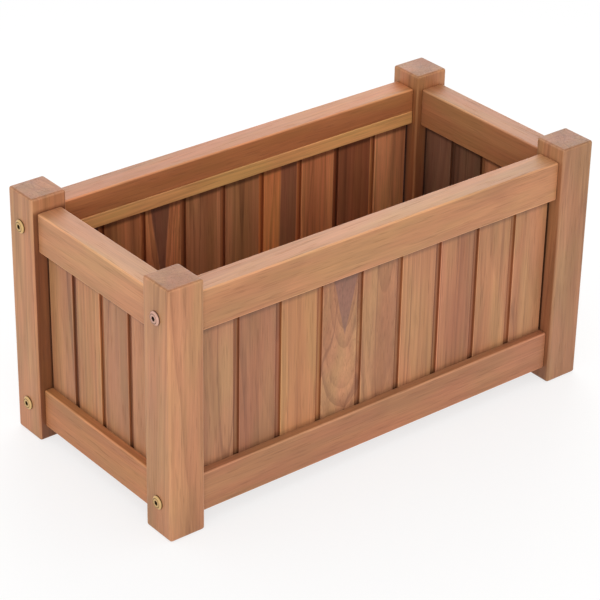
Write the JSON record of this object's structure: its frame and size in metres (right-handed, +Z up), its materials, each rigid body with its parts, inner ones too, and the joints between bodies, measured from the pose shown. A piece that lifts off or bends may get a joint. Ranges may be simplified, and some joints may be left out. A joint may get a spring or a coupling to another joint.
{
  "type": "wooden planter box",
  "caption": "Rectangular wooden planter box with square corner posts, plain rails, upright tongued slats, bolted corners and a drained slatted floor.",
  "frame": {"origin": "on the ground at the middle of the footprint, between the feet", "axes": "+Z up, +X along the long sides, -Y out of the front long side"},
  "size_m": [0.5052, 0.25, 0.257],
  "materials": {
    "post_teak": "oiled, sanded",
    "rail_teak": "oiled, sanded",
    "slat_teak": "oiled, sanded",
    "bead_teak": "oiled, sanded",
    "floor_teak": "sanded, bare",
    "bolt_zinc": "yellow zinc plated",
    "insert_zinc": "zinc plated",
    "screw_zinc": "yellow zinc plated"
  },
  "bodies": {
    "root": {"post_front_left": "post_teak", "post_front_right": "post_teak", "post_back_left": "post_teak", "post_back_right": "post_teak", "bottom_rail_front": "rail_teak", "top_rail_front": "rail_teak", "bottom_rail_right": "rail_teak", "top_rail_right": "rail_teak", "bottom_rail_back": "rail_teak", "top_rail_back": "rail_teak", "bottom_rail_left": "rail_teak", "top_rail_left": "rail_teak", "slat_front_1": "slat_teak", "slat_front_2": "slat_teak", "slat_front_3": "slat_teak", "slat_front_4": "slat_teak", "slat_front_5": "slat_teak", "slat_front_6": "slat_teak", "slat_front_7": "slat_teak", "slat_front_8": "slat_teak", "slat_front_9": "slat_teak", "slat_right_1": "slat_teak", "slat_right_2": "slat_teak", "slat_right_3": "slat_teak", "slat_right_4": "slat_teak", "slat_back_1": "slat_teak", "slat_back_2": "slat_teak", "slat_back_3": "slat_teak", "slat_back_4": "slat_teak", "slat_back_5": "slat_teak", "slat_back_6": "slat_teak", "slat_back_7": "slat_teak", "slat_back_8": "slat_teak", "slat_back_9": "slat_teak", "slat_left_1": "slat_teak", "slat_left_2": "slat_teak", "slat_left_3": "slat_teak", "slat_left_4": "slat_teak", "stop_bead_front": "bead_teak", "stop_bead_back": "bead_teak", "floor_ledger_front": "floor_teak", "floor_ledger_back": "floor_teak", "floor_board_1": "floor_teak", "floor_board_2": "floor_teak", "floor_board_3": "floor_teak", "floor_board_4": "floor_teak", "floor_board_5": "floor_teak", "floor_board_6": "floor_teak", "floor_board_7": "floor_teak", "floor_board_8": "floor_teak", "floor_board_9": "floor_teak", "connector_bolts": "bolt_zinc", "insert_nuts": "insert_zinc", "ledger_screws": "screw_zinc", "floor_screws": "screw_zinc"}
  },
  "joints": []
}
